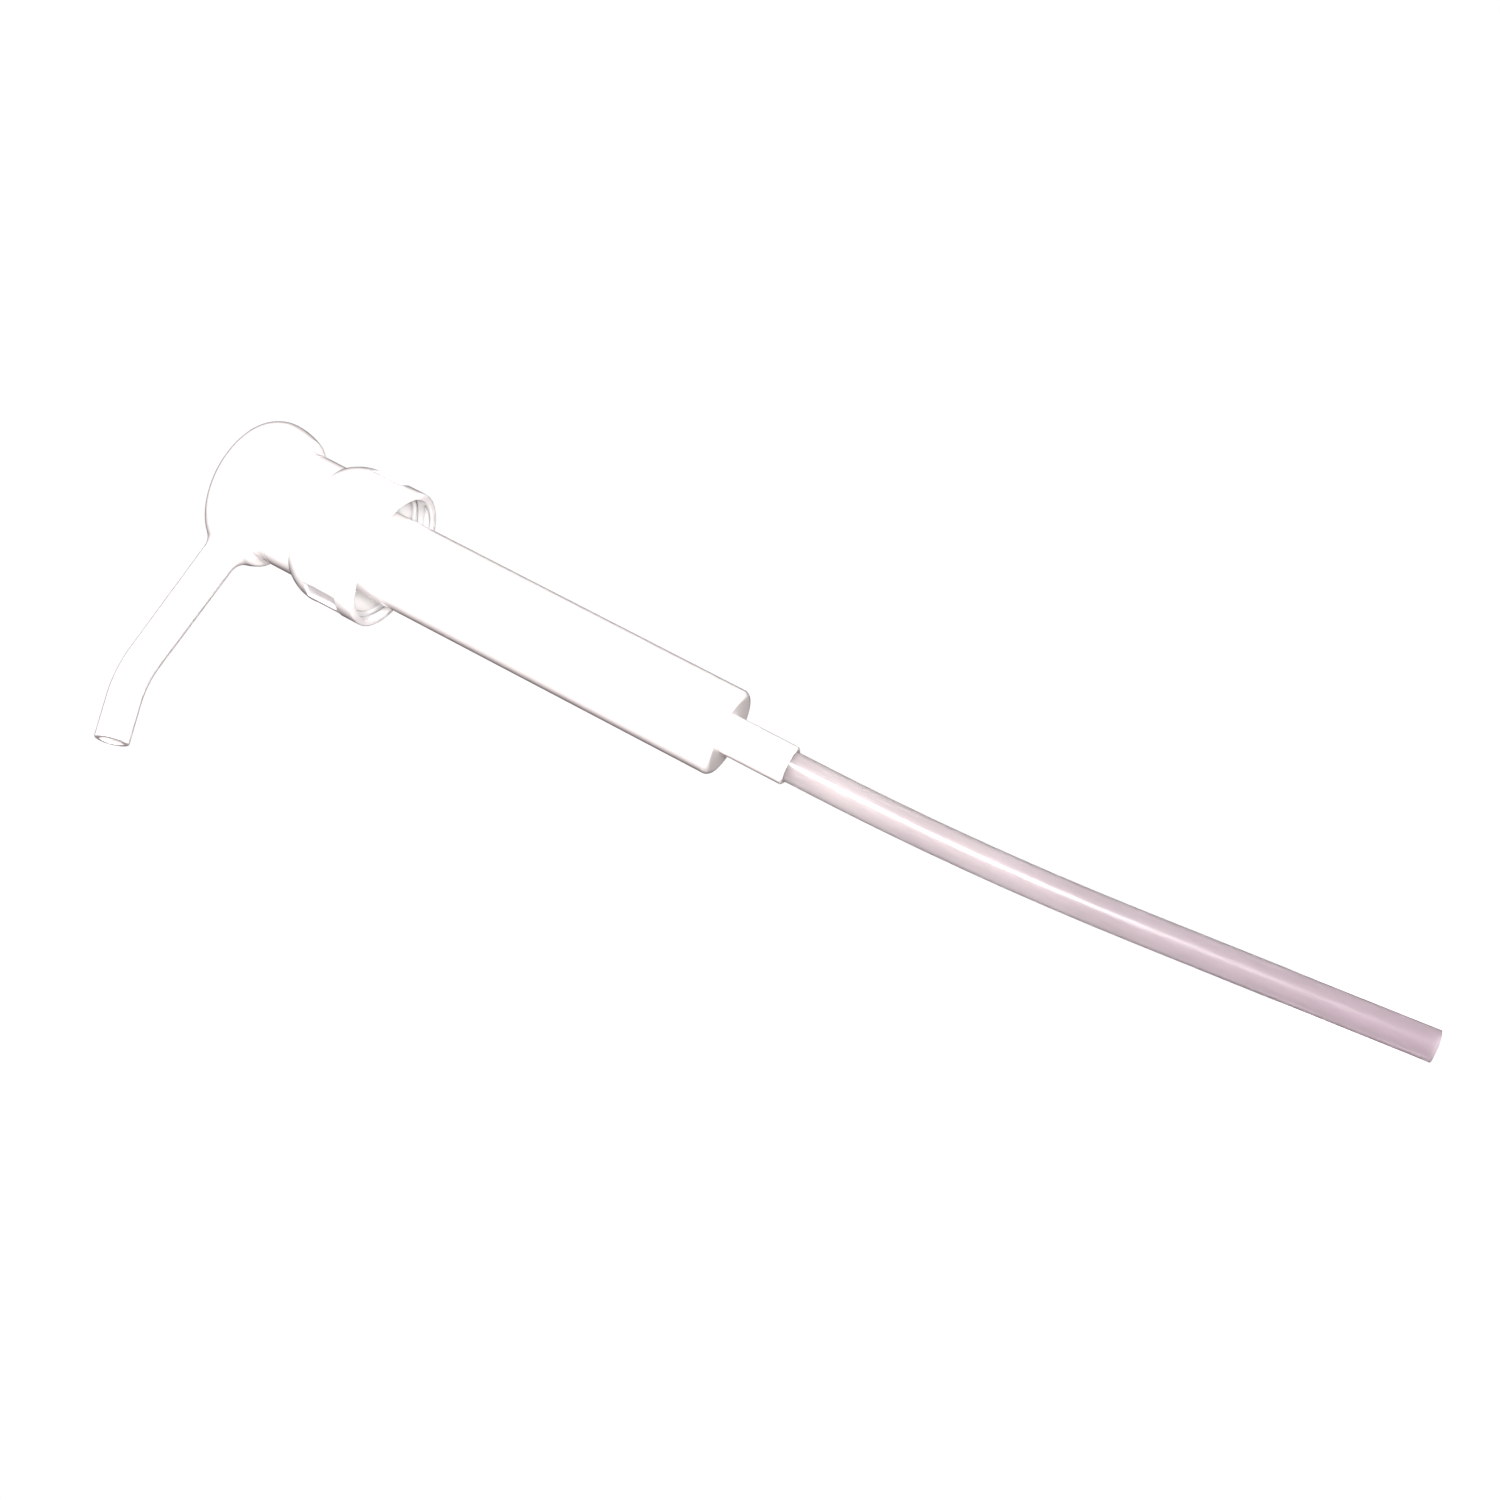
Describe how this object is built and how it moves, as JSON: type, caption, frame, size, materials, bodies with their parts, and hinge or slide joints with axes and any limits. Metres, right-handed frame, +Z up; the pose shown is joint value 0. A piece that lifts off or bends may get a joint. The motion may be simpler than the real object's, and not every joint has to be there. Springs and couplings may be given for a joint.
{
  "type": "hand dispensing pump",
  "caption": "Hand plunger pump that screws onto a jug of gear oil: mushroom push head with a long bent spout, lock collar, fluted cap, barrel and dip tube.",
  "frame": {"origin": "middle of the gasket's underside, which rests on the rim of the bottle's neck", "axes": "+Z up along the pump's axis towards the push head, the spout points along -X"},
  "size_m": [0.1085, 0.044, 0.374],
  "materials": {
    "head_plastic": "white moulded polypropylene",
    "cap_plastic": "white moulded polypropylene",
    "barrel_plastic": "natural white polypropylene",
    "tube_plastic": "translucent extruded polyethylene",
    "seal_plastic": "soft natural polyethylene",
    "gasket_foam": "closed-cell foam",
    "steel": "polished stainless steel"
  },
  "bodies": {
    "pump_body": {"barrel": "barrel_plastic", "lock_collar": "cap_plastic", "stem_wiper": "seal_plastic", "neck_gasket": "gasket_foam", "inlet_ball_cage": "barrel_plastic", "dip_tube": "tube_plastic", "spring": "steel"},
    "cap": {"closure": "cap_plastic"},
    "piston": {"piston_cup": "seal_plastic", "spring_seat": "barrel_plastic"},
    "head": {"pump_head": "head_plastic", "stem": "barrel_plastic", "piston_holder": "barrel_plastic"},
    "lower_ball": {"inlet_ball": "steel"},
    "upper_ball": {"outlet_ball": "steel"}
  },
  "joints": [
    {"name": "closure_turn", "type": "hinge", "parent": "pump_body", "child": "cap", "pos_m": [0, 0, 0], "axis": [0, 0, 1], "continuous": true},
    {"name": "plunger_slide", "type": "slide", "parent": "pump_body", "child": "piston", "axis": [0, 0, 1], "range_m": [0, 0.072], "deforming": ["spring"]},
    {"name": "head_turn", "type": "hinge", "parent": "piston", "child": "head", "pos_m": [0, 0, 0], "axis": [0, 0, 1], "continuous": true},
    {"name": "inlet_ball_lift", "type": "slide", "parent": "pump_body", "child": "lower_ball", "axis": [0, 0, 1], "range_m": [0, 0.003]},
    {"name": "outlet_ball_lift", "type": "slide", "parent": "head", "child": "upper_ball", "axis": [0, 0, 1], "range_m": [0, 0.003]}
  ]
}
